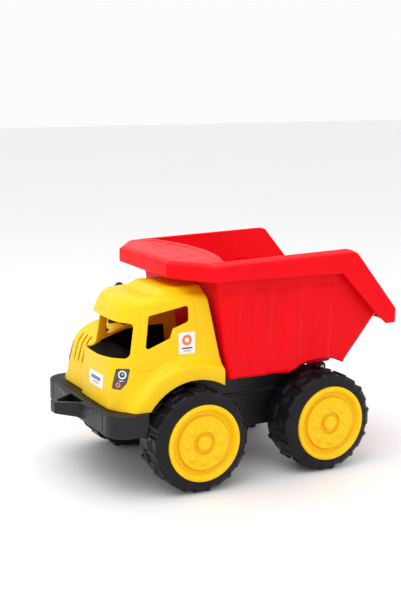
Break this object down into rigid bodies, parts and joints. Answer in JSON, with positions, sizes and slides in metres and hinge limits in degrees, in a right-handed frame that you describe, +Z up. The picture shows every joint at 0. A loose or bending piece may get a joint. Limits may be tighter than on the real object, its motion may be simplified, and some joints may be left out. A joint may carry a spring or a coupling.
{
  "type": "push along dump truck",
  "caption": "Push-along toy dump truck: offset cab and bonnet, tipping hopper with a canopy over the cab, big treaded wheels and a front tow loop.",
  "frame": {"origin": "on the ground, under the middle of the truck's bounding box", "axes": "+Z up, -Y the way the truck drives forwards, +X towards the truck's own left side"},
  "size_m": [0.224, 0.3666, 0.242],
  "materials": {
    "yellow_plastic": "smooth bright yellow moulding, soft gloss",
    "red_plastic": "bright red moulding, soft gloss",
    "black_plastic": "black moulding, satin",
    "tyre_plastic": "hollow black plastic tyre, satin",
    "interior_plastic": "glossy black insert",
    "steel": "bare bright steel",
    "headlight_sticker": "printed vinyl sticker",
    "badge_sticker": "printed vinyl sticker",
    "side_sticker": "printed vinyl sticker"
  },
  "bodies": {
    "chassis": {"chassis_frame": "black_plastic", "front_bumper": "black_plastic", "exhaust_stack": "black_plastic", "cab_shell": "yellow_plastic", "cab_interior": "interior_plastic", "front_axle": "steel", "rear_axle": "steel", "axle_push_nuts": "steel", "bed_hinge_pin": "steel", "cab_screws": "steel", "headlight_decal_left": "headlight_sticker", "headlight_decal_right": "headlight_sticker", "front_badge_decal": "badge_sticker", "side_decal_left": "side_sticker"},
    "bed": {"dump_bed": "red_plastic"},
    "wheel_front_left": {"tyre_front_left": "tyre_plastic", "hub_front_left": "yellow_plastic"},
    "wheel_front_right": {"tyre_front_right": "tyre_plastic", "hub_front_right": "yellow_plastic"},
    "wheel_rear_left": {"tyre_rear_left": "tyre_plastic", "hub_rear_left": "yellow_plastic"},
    "wheel_rear_right": {"tyre_rear_right": "tyre_plastic", "hub_rear_right": "yellow_plastic"}
  },
  "joints": [
    {"name": "bed_tip", "type": "hinge", "parent": "chassis", "child": "bed", "pos_m": [0, 0.1173, 0.103], "axis": [-1, 0, 0], "range_deg": [0, 60]},
    {"name": "front_left_wheel_spin", "type": "hinge", "parent": "chassis", "child": "wheel_front_left", "pos_m": [0.085, -0.0602, 0.0548], "axis": [1, 0, 0], "continuous": true},
    {"name": "front_right_wheel_spin", "type": "hinge", "parent": "chassis", "child": "wheel_front_right", "pos_m": [-0.085, -0.0602, 0.0548], "axis": [1, 0, 0], "continuous": true},
    {"name": "rear_left_wheel_spin", "type": "hinge", "parent": "chassis", "child": "wheel_rear_left", "pos_m": [0.085, 0.0948, 0.0548], "axis": [1, 0, 0], "continuous": true},
    {"name": "rear_right_wheel_spin", "type": "hinge", "parent": "chassis", "child": "wheel_rear_right", "pos_m": [-0.085, 0.0948, 0.0548], "axis": [1, 0, 0], "continuous": true}
  ]
}
